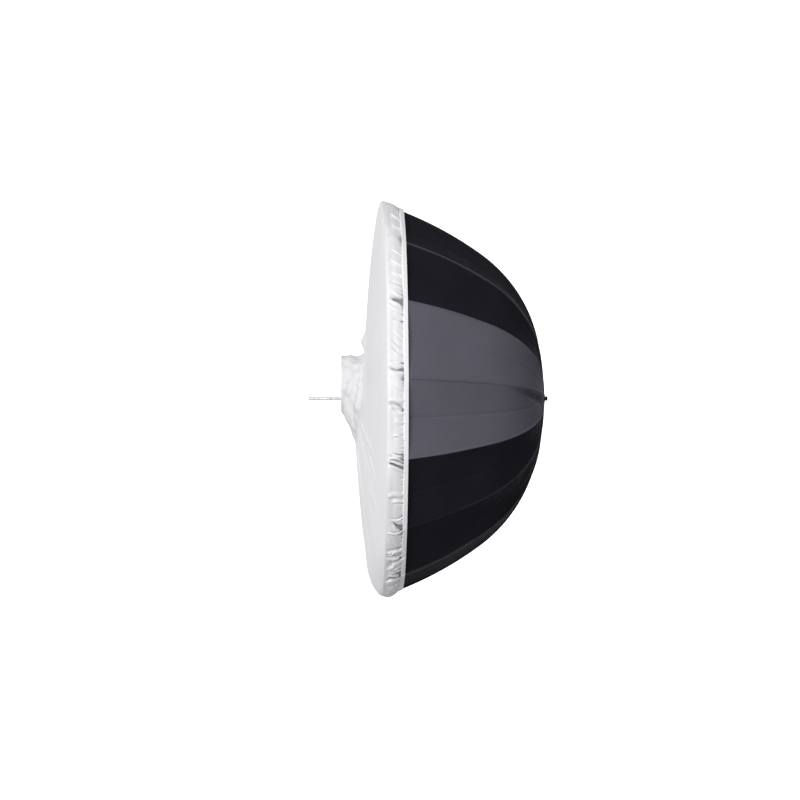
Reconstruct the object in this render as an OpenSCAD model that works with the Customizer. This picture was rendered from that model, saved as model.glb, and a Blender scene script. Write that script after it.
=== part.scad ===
// Deep sixteen-rib photographic umbrella reflector with its front diffuser, open.
// The shaft runs along X: its free end is at X = 0 and the canopy's apex is at X = apex_x.
// Each rib is drawn in the XY plane, with +Y pointing away from the shaft, and then turned about X.

/* [Shaft] */
// Distance from the shaft's free end to the canopy's apex
apex_x = 740; // [700:5:800]
// Outer diameter of the shaft, which fits a light's umbrella holder
shaft_d = 8; // [7:0.5:9]
// Wall of the shaft's tube
shaft_wall = 0.8; // [0.6:0.1:1]

/* [Canopy] */
// Length of a rib, measured along the canopy from the apex to the rim
rib_length = 863; // [840:1:890]
// Length along a rib at which its stretcher joins it
joiner_at = 240; // [200:5:280]
// Thickness of the canopy's fabric
cloth = 1; // [0.8:0.1:1.2]

/* [Frame] */
// Diameter of a rib's rod
rod_d = 3.4; // [3:0.1:3.4]
// Angle that a rib swings through as the umbrella folds
fold_angle = 48; // [40:1:48]
// Depth of the open end of a stretcher's fork
fork_depth = 30; // [28:1:40]

/* [Diffuser] */
// Height of the sleeve's centre above the shaft, where a light head's reflector sits
sleeve_z = 50; // [45:1:55]
// Radius of the sleeve's open end
sleeve_r = 85; // [80:1:90]
// Distance that the diffuser stands out from the rim to the sleeve's open end
sleeve_reach = 126; // [110:1:140]

/* [Hidden] */
$fn = 48;
rib_count = 16;
rib_step = 360 / rib_count;
// the first rib leans a quarter of a panel above the horizontal, on the -Y side
first_rib = 180 - rib_step / 4;

function numbered(prefix, i) = str(prefix, i < 10 ? "0" : "", i);
function all_of(prefix) = [for (i = [1:rib_count]) numbered(prefix, i)];

// ---- the canopy's meridian: three tangent arcs, flat at the apex and steep at the rim ----
arc_radius = [1500, 470, 1100];
arc_turn = [6.5, 43.5];
first_heading = 4;
arc_heading = [first_heading, first_heading + arc_turn[0], first_heading + arc_turn[0] + arc_turn[1]];
function arc_length(i) = arc_radius[i] * arc_turn[i] * PI / 180;
arc_start = [0, arc_length(0), arc_length(0) + arc_length(1)];
function outward(heading) = [cos(heading), sin(heading)];
apex_centre = [apex_x, 0] - arc_radius[0] * outward(arc_heading[0]);
middle_centre = apex_centre + (arc_radius[0] - arc_radius[1]) * outward(arc_heading[1]);
rim_centre = middle_centre + (arc_radius[1] - arc_radius[2]) * outward(arc_heading[2]);
arc_centre = [apex_centre, middle_centre, rim_centre];

function arc_at(along) = along < arc_start[1] ? 0 : along < arc_start[2] ? 1 : 2;
function heading_at(along) =
    let (i = arc_at(along))
    arc_heading[i] + (along - arc_start[i]) / arc_radius[i] * 180 / PI;
function meridian(along, inset) =
    let (i = arc_at(along))
    arc_centre[i] + (arc_radius[i] - inset) * outward(heading_at(along));
// the meridian's radius at a place along the shaft, by halving the stretch of rib that holds it
function along_at_x(x, low = 0, high = rib_length, steps = 30) =
    steps == 0 ? low :
    let (middle = (low + high) / 2)
    meridian(middle, 0)[0] > x ? along_at_x(x, middle, high, steps - 1)
                               : along_at_x(x, low, middle, steps - 1);
function canopy_r(x) = meridian(along_at_x(x), 0)[1];

// ---- hinges ----
gap = 0.3;
running_gap = 0.08;
shaft_r = shaft_d / 2;
rod_r = rod_d / 2;
rod_inset = cloth + 0.7 + rod_r;
hinge_r = 15;
wire_r = 0.8;
eye_r = 3.2;
eye_bore_r = wire_r + 0.3;
blade_t = 2.4;
slot_w = blade_t + 0.6;
slot_floor_r = hinge_r - eye_r - 0.8;
notch_w = 2 * wire_r + 0.4;
rib_hinge = [apex_x - 10, hinge_r];
// the joiner's pivot lies a little inside the rod
pivot_drop = 4;
joiner = meridian(joiner_at, rod_inset + pivot_drop);
arm = norm(joiner - rib_hinge);
open_angle = atan2(joiner[1] - hinge_r, rib_hinge[0] - joiner[0]);
// the stretcher is as long as the rib's inner arm, so both lean alike against the shaft
runner_hinge = [rib_hinge[0] - 2 * arm * cos(open_angle), hinge_r];
travel = 2 * arm * (cos(open_angle - fold_angle) - cos(open_angle));

// ---- lengths on the shaft ----
hub_r = 19.5;
hub_h = 15.5;
crown_top = apex_x - 3.2;
crown_neck_h = 8;
hub_over_hinge = 7.5;
runner_body_r = 9;
runner_tail_h = 42;
runner_end = runner_hinge[0] + hub_over_hinge - hub_h - runner_tail_h;
stop_x = runner_end - travel - 1.5;
stop_w = 0.9;
catch_l = 18;
catch_x = runner_end - 0.6 - catch_l;
catch_t = 1.6;
catch_rise = 3;

// turns what is drawn in the XY plane to stand over rib number i
module at_rib(i) {
    rotate([first_rib - (i - 1) * rib_step, 0, 0])
        children();
}

// a solid of revolution about the shaft, from points [x, radius]
module turned(points) {
    rotate([0, 90, 0])
        rotate_extrude()
            polygon([for (p = points) [p[1], p[0]]]);
}

// a straight bar along the shaft from x to x + length
module bar_x(x, length, r) {
    translate([x, 0, 0])
        rotate([0, 90, 0])
            cylinder(r = r, h = length);
}

// ---- shaft ----
module shaft() {
    color("silver")
    difference() {
        bar_x(0, apex_x + 2, shaft_r);
        bar_x(-1, apex_x + 4, shaft_r - shaft_wall);
        // groove that holds the stop ring
        turned([
            [stop_x, shaft_r - 0.4],
            [stop_x + stop_w + 0.1, shaft_r - 0.4],
            [stop_x + stop_w + 0.1, shaft_r + 1],
            [stop_x, shaft_r + 1]
        ]);
        // slot that the catch comes out of
        translate([catch_x - 1, -catch_t / 2 - gap, 0])
            cube([catch_l + 1.8, catch_t + 2 * gap, shaft_r + 1]);
    }
}

module shaft_end_plug() {
    plug_r = shaft_r - shaft_wall - 0.02;
    color("black")
    turned([[-2.5, 0], [-2.5, 2.4], [-1.2, shaft_r - 0.2], [-0.05, shaft_r - 0.2],
            [-0.05, plug_r], [14, plug_r], [15, plug_r - 0.8], [15, 0]]);
}

module stop_ring() {
    color("dimgray")
    translate([stop_x + 0.05, 0, 0])
        rotate([0, 90, 0])
            rotate_extrude(angle = 300)
                translate([shaft_r - 0.35, 0])
                    square([3.4, stop_w]);
}

// ---- crown and runner: hubs with one slot for each hinge ----
module hinge_slots(top, height) {
    for (i = [1:rib_count])
        at_rib(i)
            translate([top - height - 1, slot_floor_r, -slot_w / 2])
                cube([height + 2, hub_r, slot_w]);
}

// groove for the wire ring, open towards the apex
module ring_groove(hinge_x, top) {
    turned([
        [hinge_x - notch_w / 2, hinge_r - notch_w / 2],
        [top + 1, hinge_r - notch_w / 2],
        [top + 1, hinge_r + notch_w / 2],
        [hinge_x - notch_w / 2, hinge_r + notch_w / 2]
    ]);
}

module wire_ring(hinge_x) {
    translate([hinge_x, 0, 0])
        rotate([0, 90, 0])
            rotate_extrude()
                translate([hinge_r, 0])
                    circle(r = wire_r, $fn = 24);
}

module crown() {
    floor_x = crown_top - hub_h;
    neck_x = floor_x - crown_neck_h;
    color([0.12, 0.12, 0.13])
    difference() {
        turned([
            [neck_x, shaft_r + 0.05],
            [neck_x, 8],
            [floor_x - 1, 9],
            [floor_x, hub_r - 1.5],
            [floor_x + 1.5, hub_r],
            [crown_top, hub_r],
            [crown_top, shaft_r + 0.05]
        ]);
        hinge_slots(crown_top, hub_h);
        ring_groove(rib_hinge[0], crown_top);
    }
}

module crown_ring() {
    color("silver")
    wire_ring(rib_hinge[0]);
}

module runner() {
    top = runner_hinge[0] + hub_over_hinge;
    floor_x = top - hub_h;
    color([0.12, 0.12, 0.13])
    difference() {
        turned([
            [runner_end, shaft_r + running_gap],
            [runner_end, 11],
            [runner_end + 2, 12],
            [runner_end + 5, 12],
            [runner_end + 9, runner_body_r],
            [floor_x - 6, runner_body_r],
            [floor_x, hub_r - 1.5],
            [floor_x + 1.5, hub_r],
            [top, hub_r],
            [top, shaft_r + running_gap]
        ]);
        hinge_slots(top, hub_h);
        ring_groove(runner_hinge[0], top);
    }
}

module runner_ring() {
    color("silver")
    wire_ring(runner_hinge[0]);
}

// tongue in the shaft with a square shoulder towards the runner and a long slope behind it
module catch() {
    tongue_top = shaft_r + catch_rise;
    color("silver")
    translate([0, catch_t / 2, 0])
        rotate([90, 0, 0])
            linear_extrude(height = catch_t)
                polygon([[catch_x, 0.4], [catch_x + catch_l, 0.4],
                         [catch_x + catch_l, tongue_top - 0.6], [catch_x + catch_l - 0.8, tongue_top],
                         [catch_x + catch_l - 4, tongue_top], [catch_x, shaft_r - 0.6]]);
}

module ferrule() {
    socket_end = apex_x + 2.5;
    color([0.1, 0.1, 0.11])
    turned([
        [apex_x + 1.2, shaft_r + 0.05],
        [socket_end, shaft_r + 0.05],
        [socket_end, 0],
        [apex_x + 13, 0],
        [apex_x + 12.4, 4],
        [apex_x + 11, 6.4],
        [apex_x + 9, 7.2],
        [apex_x + 7, 6.4],
        [apex_x + 5.6, 4.6],
        [apex_x + 4.4, 4.6],
        [apex_x + 3.6, 13],
        [apex_x + 2.6, 15],
        [apex_x + 1.2, 15.5]
    ]);
}

// ---- rib: swept rod, root fitting with its eye, joiner clip and tip cap ----
rod_start = 24;
rod_sides = 8;
rod_play = 0.15;
root_end = 38;
tip_cap_l = 14;
tip_cap_r = 2.2;

// places of the rod's rings along the rib, closer where it bends more
rod_end = rib_length - 2;
rod_steps = [4, 20, 11];
rod_from = [rod_start + 1, arc_start[1], arc_start[2]];
rod_to = [arc_start[1], arc_start[2], rod_end];
ring_places = concat(
    [for (i = [0:2], k = [0:rod_steps[i] - 1]) rod_from[i] + k * (rod_to[i] - rod_from[i]) / rod_steps[i]],
    [rod_end]
);

module rod() {
    last = len(ring_places) - 1;
    points = [
        for (along = ring_places, j = [0:rod_sides - 1])
            let (
                turn = (j + 0.5) * 360 / rod_sides,
                p = meridian(along, rod_inset - rod_r * cos(turn))
            )
            [p[0], p[1], rod_r * sin(turn)]
    ];
    sides = [
        for (k = [0:last - 1], j = [0:rod_sides - 1])
            let (a = k * rod_sides + j, b = k * rod_sides + (j + 1) % rod_sides)
            [a, b, b + rod_sides, a + rod_sides]
    ];
    start_face = [for (j = [rod_sides - 1:-1:0]) j];
    end_face = [for (j = [0:rod_sides - 1]) last * rod_sides + j];
    polyhedron(points = points, faces = concat(sides, [start_face, end_face]));
}

// the round space that the rod takes in a fitting, along one arc of the meridian
module rod_space(i, from, to) {
    start = arc_heading[i] + (from - arc_start[i]) / arc_radius[i] * 180 / PI;
    turn = (to - from) / arc_radius[i] * 180 / PI;
    translate(arc_centre[i])
        rotate_extrude(angle = turn, start = start)
            translate([arc_radius[i] - rod_inset, 0])
                circle(r = rod_r + rod_play, $fn = 24);
}

// flat blade with the hinge's eye, and a socket that the rod is glued into
module rib_root() {
    socket_half = 2;
    top = rod_inset - socket_half;
    bottom = rod_inset + socket_half;
    difference() {
        union() {
            translate([0, 0, -blade_t / 2])
                linear_extrude(height = blade_t)
                    polygon([
                        rib_hinge + [2.6, -0.5],
                        meridian(20, top),
                        meridian(root_end, top),
                        meridian(root_end, bottom),
                        rib_hinge + [-2.6, 0.5],
                        rib_hinge + [0, -2.6]
                    ]);
            translate([0, 0, -socket_half - 0.2])
                linear_extrude(height = 2 * socket_half + 0.4)
                    polygon([
                        meridian(rod_start, top),
                        meridian(root_end, top),
                        meridian(root_end, bottom),
                        meridian(rod_start, bottom)
                    ]);
            translate([rib_hinge[0], rib_hinge[1], -blade_t / 2])
                cylinder(r = eye_r, h = blade_t);
        }
        rod_space(0, rod_start + 0.8, root_end + 4);
        translate([rib_hinge[0], rib_hinge[1], -blade_t])
            cylinder(r = eye_bore_r, h = 2 * blade_t);
    }
}

// block that snaps on the rod from below, so it is open towards the cloth, and carries the stretcher's pivot
module joiner_clip() {
    clip_t = 4.2;
    clip_l = 12;
    lip_rise = 0.9;
    joiner_bore_r = 1;
    centre = meridian(joiner_at, rod_inset);
    lean = heading_at(joiner_at);
    difference() {
        translate([centre[0], centre[1], 0])
            rotate([0, 0, lean])
                translate([-pivot_drop - 2.6, -clip_l / 2, -clip_t / 2])
                    cube([pivot_drop + 2.6 + lip_rise, clip_l, clip_t]);
        rod_space(1, joiner_at - clip_l, joiner_at + clip_l);
        translate([joiner[0], joiner[1], -clip_t])
            cylinder(r = joiner_bore_r, h = 2 * clip_t);
    }
}

module tip_cap() {
    end = meridian(rib_length + 3, rod_inset);
    translate([end[0], end[1], 0])
        rotate([0, 0, heading_at(rib_length) + 90])
            rotate([0, -90, 0])
                difference() {
                    cylinder(r1 = tip_cap_r - 0.15, r2 = tip_cap_r, h = tip_cap_l);
                    translate([0, 0, 3])
                        cylinder(r = rod_r + rod_play, h = tip_cap_l);
                }
}

module rib(i) {
    color([0.2, 0.2, 0.2])
    at_rib(i) {
        rod();
        rib_root();
        joiner_clip();
        tip_cap();
    }
}

// ---- stretcher: flat eye in the runner, then a channel that opens towards the rib and ends in a fork ----
channel_in = 4.8;
channel_wall = 0.5;
channel_h = 5;
channel_start = 12;
fork_past = 4;

module stretcher(i) {
    lean = atan2(joiner[1] - runner_hinge[1], joiner[0] - runner_hinge[0]);
    outer = channel_in + 2 * channel_wall;
    side_l = arm + fork_past - channel_start;
    color("gray")
    at_rib(i)
        translate([runner_hinge[0], runner_hinge[1], 0])
            rotate([0, 0, lean])
                difference() {
                    union() {
                        translate([0, 0, -blade_t / 2])
                            cylinder(r = eye_r, h = blade_t);
                        translate([0, -channel_h / 2, -blade_t / 2])
                            cube([channel_start + 10, channel_h, blade_t]);
                        translate([channel_start, channel_h / 2 - channel_wall, -outer / 2])
                            cube([arm - fork_depth - channel_start, channel_wall, outer]);
                        for (side = [-1, 1])
                            translate([channel_start, -channel_h / 2,
                                       side * (outer - channel_wall) / 2 - channel_wall / 2])
                                cube([side_l, channel_h, channel_wall]);
                        for (side = [-1, 1])
                            translate([arm, 0, side * (outer / 2 + 0.3) - 0.4])
                                cylinder(r = 2, h = 0.8);
                    }
                    translate([0, 0, -blade_t])
                        cylinder(r = eye_bore_r, h = 2 * blade_t);
                }
}

// ---- gore: the fabric that one rib carries, flat from the rib to the middle of each panel ----
gore_start = 13;
gore_stations = 27;

function gore_row(along, inset) =
    let (
        p = meridian(along, inset),
        middle_r = p[1] * cos(rib_step / 2),
        middle_y = middle_r * cos(rib_step / 2),
        middle_z = middle_r * sin(rib_step / 2) - 0.2
    )
    [[p[0], middle_y, -middle_z], [p[0], p[1], 0], [p[0], middle_y, middle_z]];

module gore(i) {
    last = gore_stations - 1;
    step = (rib_length - gore_start) / last;
    points = [
        for (k = [0:last]) each concat(gore_row(gore_start + k * step, 0), gore_row(gore_start + k * step, cloth))
    ];
    // each row has the outer points 0, 1, 2 and the inner points 3, 4, 5
    around = [0, 1, 2, 5, 4, 3];
    walls = [
        for (k = [0:last - 1], e = [0:5])
            let (a = around[e] + 6 * k, b = around[(e + 1) % 6] + 6 * k)
            [b, a, a + 6, b + 6]
    ];
    start_caps = [[0, 1, 4, 3], [1, 2, 5, 4]];
    end_caps = [for (f = start_caps) [for (n = [3:-1:0]) f[n] + 6 * last]];
    color(i == 1 ? [0.36, 0.35, 0.4] : [0.09, 0.09, 0.11])
    at_rib(i)
        polyhedron(points = points, faces = concat(walls, start_caps, end_caps));
}

// ---- diffuser ----
ring_points = 32;
rim_x = meridian(rib_length, 0)[0] - 9;
rim_r = meridian(rib_length, 0)[1] + 5;
hem_x = meridian(rib_length, 0)[0] + 57;
root_r = 134;
root_rise_top = 53;
root_rise_bottom = 82;
sheet = 1.2;

// how far the front sheet stands out from the rim at a share of the way in, above and below the shaft
function rise(share, lean) =
    root_rise_top * pow(share, 0.45) * (1 + lean) / 2 + root_rise_bottom * pow(share, 0.42) * (1 - lean) / 2;
function front_point(share, turn, back) =
    let (r = rim_r + (root_r - rim_r) * share)
    [rim_x - rise(share, sin(turn)) + back, r * cos(turn), r * sin(turn)];
function sleeve_point(share, turn, inset) =
    let (
        root = front_point(1, turn, 0),
        r = (root_r - inset) + (sleeve_r - root_r) * share,
        end_x = rim_x - sleeve_reach
    )
    [root[0] + (end_x - root[0]) * share - gap, r * cos(turn), r * sin(turn) + sleeve_z * share];

// closes two nested sheets of rings into one solid: outer rings 0..rows, then inner rings back
module double_sheet(outer_rings, inner_rings) {
    rings = concat(outer_rings, [for (k = [len(inner_rings) - 1:-1:0]) inner_rings[k]]);
    count = len(rings);
    function index(k, j) = (k % count) * ring_points + j % ring_points;
    polyhedron(
        points = [for (ring = rings) each ring],
        faces = [
            for (k = [0:count - 1], j = [0:ring_points - 1])
                [index(k, j), index(k + 1, j), index(k + 1, j + 1), index(k, j + 1)]
        ]
    );
}

function turns() = [for (j = [0:ring_points - 1]) j * 360 / ring_points];
front_shares = [0, 0.04, 0.12, 0.25, 0.45, 0.7, 1];
sleeve_shares = [0, 0.5, 1];

module diffuser_front() {
    color("white")
    double_sheet(
        [for (share = front_shares) [for (t = turns()) front_point(share, t, 0)]],
        [for (share = front_shares) [for (t = turns()) front_point(share, t, sheet)]]
    );
}

module diffuser_sleeve() {
    color("white")
    double_sheet(
        [for (share = sleeve_shares) [for (t = turns()) sleeve_point(share, t, 0)]],
        [for (share = sleeve_shares) [for (t = turns()) sleeve_point(share, t, sheet)]]
    );
}

// skirt that wraps back over the rim to its elastic hem
module diffuser_band() {
    clear = gap + 0.3;
    ridge_x = rim_x + sheet + gap;
    corner_x = meridian(rib_length, 0)[0];
    inner = [
        [ridge_x, rim_r - sheet],
        [corner_x, canopy_r(corner_x) + clear + 0.8],
        [(corner_x + hem_x) / 2, canopy_r((corner_x + hem_x) / 2) + clear],
        [hem_x, canopy_r(hem_x) + clear]
    ];
    color("white")
    turned(concat(inner, [for (k = [3:-1:0]) inner[k] + [0, sheet]]));
}

shaft();
shaft_end_plug();
crown();
crown_ring();
ferrule();
stop_ring();
runner();
runner_ring();
catch();
diffuser_front();
diffuser_band();
diffuser_sleeve();
for (i = [1:rib_count]) {
    rib(i);
    stretcher(i);
    gore(i);
}
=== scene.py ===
"""Looks for a deep sixteen-rib photographic umbrella with a white front diffuser.

Everything is in metres in the CAD frame: +X runs along the shaft from its free end to the canopy's apex,
+Z is up, and -Y is the side of the two grey panels. The canopy is sixteen pieces, one for each rib, so that
each can ride on its rib and fold with it. The diffuser is a front sheet with its sleeve, and a band.
"""
import math

import bpy
import numpy as np
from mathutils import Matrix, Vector


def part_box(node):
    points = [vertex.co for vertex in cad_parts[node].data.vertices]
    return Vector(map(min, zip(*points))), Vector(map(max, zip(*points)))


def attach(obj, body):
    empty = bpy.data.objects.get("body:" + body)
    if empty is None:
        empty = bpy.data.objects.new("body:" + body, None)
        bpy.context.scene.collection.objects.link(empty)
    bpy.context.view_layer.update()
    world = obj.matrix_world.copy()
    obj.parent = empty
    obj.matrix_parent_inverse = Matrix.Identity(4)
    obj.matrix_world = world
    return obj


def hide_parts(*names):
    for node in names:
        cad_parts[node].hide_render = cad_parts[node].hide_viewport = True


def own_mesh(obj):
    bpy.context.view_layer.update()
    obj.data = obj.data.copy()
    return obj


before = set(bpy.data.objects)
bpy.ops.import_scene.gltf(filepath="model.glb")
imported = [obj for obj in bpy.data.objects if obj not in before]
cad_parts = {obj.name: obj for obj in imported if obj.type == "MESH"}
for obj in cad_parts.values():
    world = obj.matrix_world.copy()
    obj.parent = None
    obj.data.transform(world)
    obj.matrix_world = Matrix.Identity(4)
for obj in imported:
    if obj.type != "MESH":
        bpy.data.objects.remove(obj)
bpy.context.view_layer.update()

# ---------------------------------------------------------------- camera
# the plane through the shaft, where the frame is this wide, is this far from the camera
FRAME_WIDTH = 2.5256
CAMERA_DISTANCE = 5.9
CAMERA_X = 0.1086
AIM = (0.2854, 0.0, -0.0047)
SENSOR = 36.0


def make_camera():
    data = bpy.data.cameras.new("camera")
    data.sensor_width = SENSOR
    data.lens = SENSOR * CAMERA_DISTANCE / FRAME_WIDTH
    data.clip_end = 100
    camera = bpy.data.objects.new("camera", data)
    bpy.context.scene.collection.objects.link(camera)
    camera.location = (CAMERA_X, -CAMERA_DISTANCE, AIM[2])
    camera.rotation_euler = (Vector(AIM) - camera.location).to_track_quat("-Z", "Y").to_euler()
    bpy.context.scene.camera = camera


make_camera()

# ---------------------------------------------------------------- sizes shared with the CAD model
RIB_COUNT = 16
RIB_STEP = 2 * math.pi / RIB_COUNT
FIRST_RIB = math.pi - RIB_STEP / 4
APEX_X = 0.740
RIB_LENGTH = 0.863
GORE_START = 0.013
# the canopy's meridian is three tangent arcs: radius, and how far each turns
ARC_RADIUS = (1.5, 0.47, 1.1)
ARC_TURN = (math.radians(6.5), math.radians(43.5))
FIRST_HEADING = math.radians(4)
FABRIC = 0.0005
SHAFT_AXIS = np.array([1.0, 0.0, 0.0])
# each rib turns on a hinge at this place beside the shaft, and folds this far
HINGE_X = 0.730
HINGE_R = 0.015
FOLD_ANGLE = math.radians(48)


def meridian(along):
    """x, radius and heading of the canopy at distances along a rib from the apex."""
    along = np.asarray(along, float)
    x, r, turned = np.zeros_like(along), np.zeros_like(along), np.zeros_like(along)
    heading, start = FIRST_HEADING, 0.0
    centre = np.array([APEX_X, 0.0])
    centre = centre - ARC_RADIUS[0] * np.array([math.cos(heading), math.sin(heading)])
    for i, radius in enumerate(ARC_RADIUS):
        here = along >= start
        angle = heading + (along - start) / radius
        x = np.where(here, centre[0] + radius * np.cos(angle), x)
        r = np.where(here, centre[1] + radius * np.sin(angle), r)
        turned = np.where(here, angle, turned)
        if i < len(ARC_TURN):
            heading += ARC_TURN[i]
            start += radius * ARC_TURN[i]
            step = radius - ARC_RADIUS[i + 1]
            centre = centre + step * np.array([math.cos(heading), math.sin(heading)])
    return x, r, turned


def folded_share(x, r):
    """Radius of the canopy when its ribs are folded, as a share of its radius when they are open."""
    folded = (x - HINGE_X) * math.sin(FOLD_ANGLE) + (r - HINGE_R) * math.cos(FOLD_ANGLE) + HINGE_R
    return folded / r


def rib_angle(number):
    """Turn about X of rib 1, 2, ... 16, from +Y towards +Z."""
    return FIRST_RIB - (number - 1) * RIB_STEP


def numbered(prefix, number):
    return f"{prefix}_{(number - 1) % RIB_COUNT + 1:02d}"


# ---------------------------------------------------------------- mesh helpers
def smoothstep(low, high, value):
    t = np.clip((value - low) / (high - low), 0, 1)
    return t * t * (3 - 2 * t)


def grid_normals(points, wrap):
    """Unit normals of a grid of points, rows by columns; with wrap, the last column meets the first."""
    along = np.gradient(points, axis=0)
    if wrap:
        across = np.roll(points, -1, axis=1) - np.roll(points, 1, axis=1)
    else:
        across = np.gradient(points, axis=1)
    normals = np.cross(across, along)
    return normals / np.maximum(np.linalg.norm(normals, axis=-1, keepdims=True), 1e-12)


def add_object(name, vertices, faces, materials, face_material, corner_uv=None, sharp_pairs=()):
    """A smooth-shaded object; sharp_pairs are the ends of its sharp edges."""
    mesh = bpy.data.meshes.new(name)
    mesh.from_pydata(np.asarray(vertices).tolist(), [], faces)
    for material in materials:
        mesh.materials.append(material)
    mesh.polygons.foreach_set("material_index", np.asarray(face_material, np.int32))
    mesh.polygons.foreach_set("use_smooth", np.ones(len(mesh.polygons), bool))
    if corner_uv is not None:
        layer = mesh.uv_layers.new(name="cloth")
        layer.data.foreach_set("uv", np.asarray(corner_uv, np.float32).ravel())
    if len(sharp_pairs):
        wanted = {tuple(sorted(pair)) for pair in sharp_pairs}
        ends = np.zeros(len(mesh.edges) * 2, np.int32)
        mesh.edges.foreach_get("vertices", ends)
        sharp = [tuple(sorted(pair)) in wanted for pair in ends.reshape(-1, 2).tolist()]
        attribute = mesh.attributes.new("sharp_edge", "BOOLEAN", "EDGE")
        attribute.data.foreach_set("value", np.array(sharp, bool))
    mesh.validate()
    piece = bpy.data.objects.new(name, mesh)
    bpy.context.scene.collection.objects.link(piece)
    return piece


def cells(grid):
    """The four corners of every cell of a grid, in order round the cell."""
    return grid[:-1, :-1], grid[:-1, 1:], grid[1:, 1:], grid[1:, :-1]


def cloth_sheet(name, points, uv, thickness, materials, face_slot, inner_slot, wrap=False):
    """A closed thin sheet: points is its outer face as rows by columns, and the inner face lies thickness
    inside. uv is in metres of cloth. face_slot is the material of the outer faces: one for all, one for each
    column, or one for each face. With wrap, the last column meets the first."""
    rows, columns = points.shape[:2]
    inner = points - grid_normals(points, wrap) * thickness
    vertices = np.concatenate([points.reshape(-1, 3), inner.reshape(-1, 3)])
    total = rows * columns
    index = np.arange(total).reshape(rows, columns)
    if wrap:
        index = np.concatenate([index, index[:, :1]], axis=1)
        uv = np.concatenate([uv, 2 * uv[:, -1:] - uv[:, -2:-1]], axis=1)
    corners, uv_corners = cells(index), cells(uv)
    outer_slots = np.broadcast_to(face_slot, corners[0].shape)
    faces = [np.stack(corners, -1).reshape(-1, 4), np.stack(corners[::-1], -1).reshape(-1, 4) + total]
    face_uv = [np.stack(uv_corners, 2).reshape(-1, 2), np.stack(uv_corners[::-1], 2).reshape(-1, 2)]
    slots = [outer_slots.ravel(), np.full(corners[0].size, inner_slot)]
    # the borders join the two faces, with sharp edges
    borders = [(index[0, ::-1], uv[0, ::-1]), (index[-1], uv[-1])]
    if not wrap:
        borders += [(index[:, 0], uv[:, 0]), (index[::-1, -1], uv[::-1, -1])]
    sharp = []
    for line, line_uv in borders:
        p, q = line[:-1], line[1:]
        faces.append(np.stack([p, p + total, q + total, q], -1)[:, ::-1])
        pair = np.stack([line_uv[:-1], line_uv[:-1], line_uv[1:], line_uv[1:]], 1)[:, ::-1]
        face_uv.append(pair.reshape(-1, 2))
        slots.append(np.full(len(p), outer_slots[0, 0]))
        sharp += list(zip(p.tolist(), q.tolist()))
        sharp += list(zip((p + total).tolist(), (q + total).tolist()))
    return add_object(
        name, vertices, np.concatenate(faces).tolist(), materials,
        np.concatenate(slots), np.concatenate(face_uv), sharp,
    )


def turned_piece(name, profile, material, sides=96, flutes=0, flute_depth=0.0, flute_rows=()):
    """A solid of revolution about the shaft through points (x, radius); the ends close on the axis.
    flute_rows are the rows whose radius is cut by flutes, as on a knurled knob."""
    vertices, faces = [], []
    for row, (x, r) in enumerate(profile):
        for j in range(sides):
            angle = 2 * math.pi * j / sides
            cut = flute_depth * (0.5 - 0.5 * math.cos(flutes * angle)) if row in flute_rows else 0.0
            vertices.append((x, (r - cut) * math.cos(angle), (r - cut) * math.sin(angle)))
    for row in range(len(profile) - 1):
        for j in range(sides):
            k = (j + 1) % sides
            faces.append((row * sides + j, (row + 1) * sides + j, (row + 1) * sides + k, row * sides + k))
    faces.append(tuple(range(sides)))
    faces.append(tuple((len(profile) - 1) * sides + j for j in reversed(range(sides))))
    return add_object(name, vertices, faces, [material], np.zeros(len(faces)))


# ---------------------------------------------------------------- material helpers
# places of a mix node's sockets when it mixes colours
MIX_COLOURS = (6, 7)
MIX_RESULT = 2


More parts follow.
